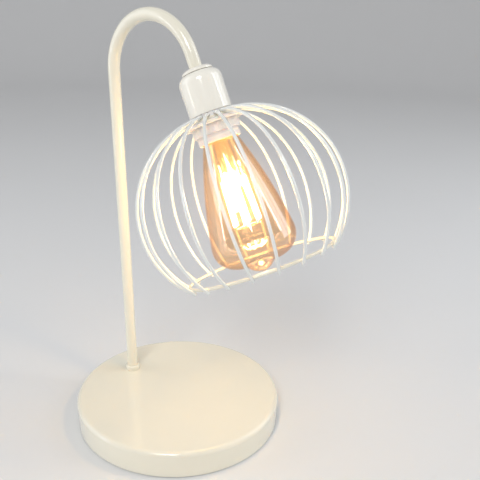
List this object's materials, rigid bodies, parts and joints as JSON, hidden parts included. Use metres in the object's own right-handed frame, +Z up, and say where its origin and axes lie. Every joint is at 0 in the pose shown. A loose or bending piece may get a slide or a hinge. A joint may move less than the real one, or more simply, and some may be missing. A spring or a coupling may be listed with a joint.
{
  "type": "cage table lamp",
  "caption": "Table lamp with a round weighted base, a hooked tube arm and an open wire cage shade round a teardrop filament bulb.",
  "frame": {"origin": "centre of the round base on its underside, where it meets the table", "axes": "+Z up; +X from the pole to the head, in the plane of the arm; +Y completes the frame"},
  "size_m": [0.2371, 0.183, 0.342],
  "materials": {
    "ivory_paint": "gloss ivory powder coat",
    "cast_weight": "as cast",
    "zinc_steel": "zinc plated",
    "foam_pad": "matte closed-cell foam",
    "white_plastic": "satin moulded plastic",
    "lead_sheath": "smooth sheath",
    "brass": "plain",
    "shell_metal": "bright nickel",
    "black_glass": "opaque black glass",
    "amber_glass": "amber tinted clear glass",
    "clear_glass": "clear glass",
    "filament": "yellow phosphor coat"
  },
  "bodies": {
    "lamp": {"base_cover": "ivory_paint", "base_weight": "cast_weight", "bottom_plate": "zinc_steel", "plate_screws": "zinc_steel", "foot_pad": "foam_pad", "cord_gland": "white_plastic", "terminal_block": "white_plastic", "terminal_screws": "brass", "earth_tag": "brass", "earth_screw": "brass", "arm_tube": "ivory_paint", "pole_collar": "ivory_paint", "pole_washer": "zinc_steel", "pole_nut": "zinc_steel", "tube_bush": "white_plastic", "inner_lead": "lead_sheath", "cup_nut": "ivory_paint", "lamp_cup": "ivory_paint", "lock_washer": "zinc_steel", "holder_dome": "white_plastic", "holder_terminals": "brass", "terminal_clamps": "zinc_steel", "contact_block": "white_plastic", "centre_contact": "brass", "side_contact": "brass", "holder_body": "white_plastic", "screw_shell": "shell_metal", "shade_ring": "white_plastic", "cage_hub": "ivory_paint", "cage_hoop": "ivory_paint", "cage_wire_01": "ivory_paint", "cage_wire_02": "ivory_paint", "cage_wire_03": "ivory_paint", "cage_wire_04": "ivory_paint", "cage_wire_05": "ivory_paint", "cage_wire_06": "ivory_paint", "cage_wire_07": "ivory_paint", "cage_wire_08": "ivory_paint", "cage_wire_09": "ivory_paint", "cage_wire_10": "ivory_paint", "cage_wire_11": "ivory_paint", "cage_wire_12": "ivory_paint", "cage_wire_13": "ivory_paint", "cage_wire_14": "ivory_paint", "cage_wire_15": "ivory_paint", "cage_wire_16": "ivory_paint", "cage_wire_17": "ivory_paint", "cage_wire_18": "ivory_paint", "cage_wire_19": "ivory_paint", "cage_wire_20": "ivory_paint"},
    "bulb_cap": {"bulb_screw_cap": "shell_metal", "bulb_insulator": "black_glass", "bulb_contact": "zinc_steel"},
    "bulb": {"bulb_glass": "amber_glass", "bulb_stem": "clear_glass", "bulb_leads": "zinc_steel", "bulb_filaments": "filament"}
  },
  "joints": [
    {"name": "bulb_travel", "type": "slide", "parent": "lamp", "child": "bulb_cap", "axis": [0.4305, 0, -0.9026], "range_m": [0, 0.025]},
    {"name": "bulb_turn", "type": "hinge", "parent": "bulb_cap", "child": "bulb", "pos_m": [0.02026, 0, 0.31367], "axis": [0.4305, 0, -0.9026], "range_deg": [0, 2470]}
  ],
  "couplings": [
    {"joint": "bulb_travel", "follows": "bulb_turn", "m_per_rad": 0.00057757}
  ]
}
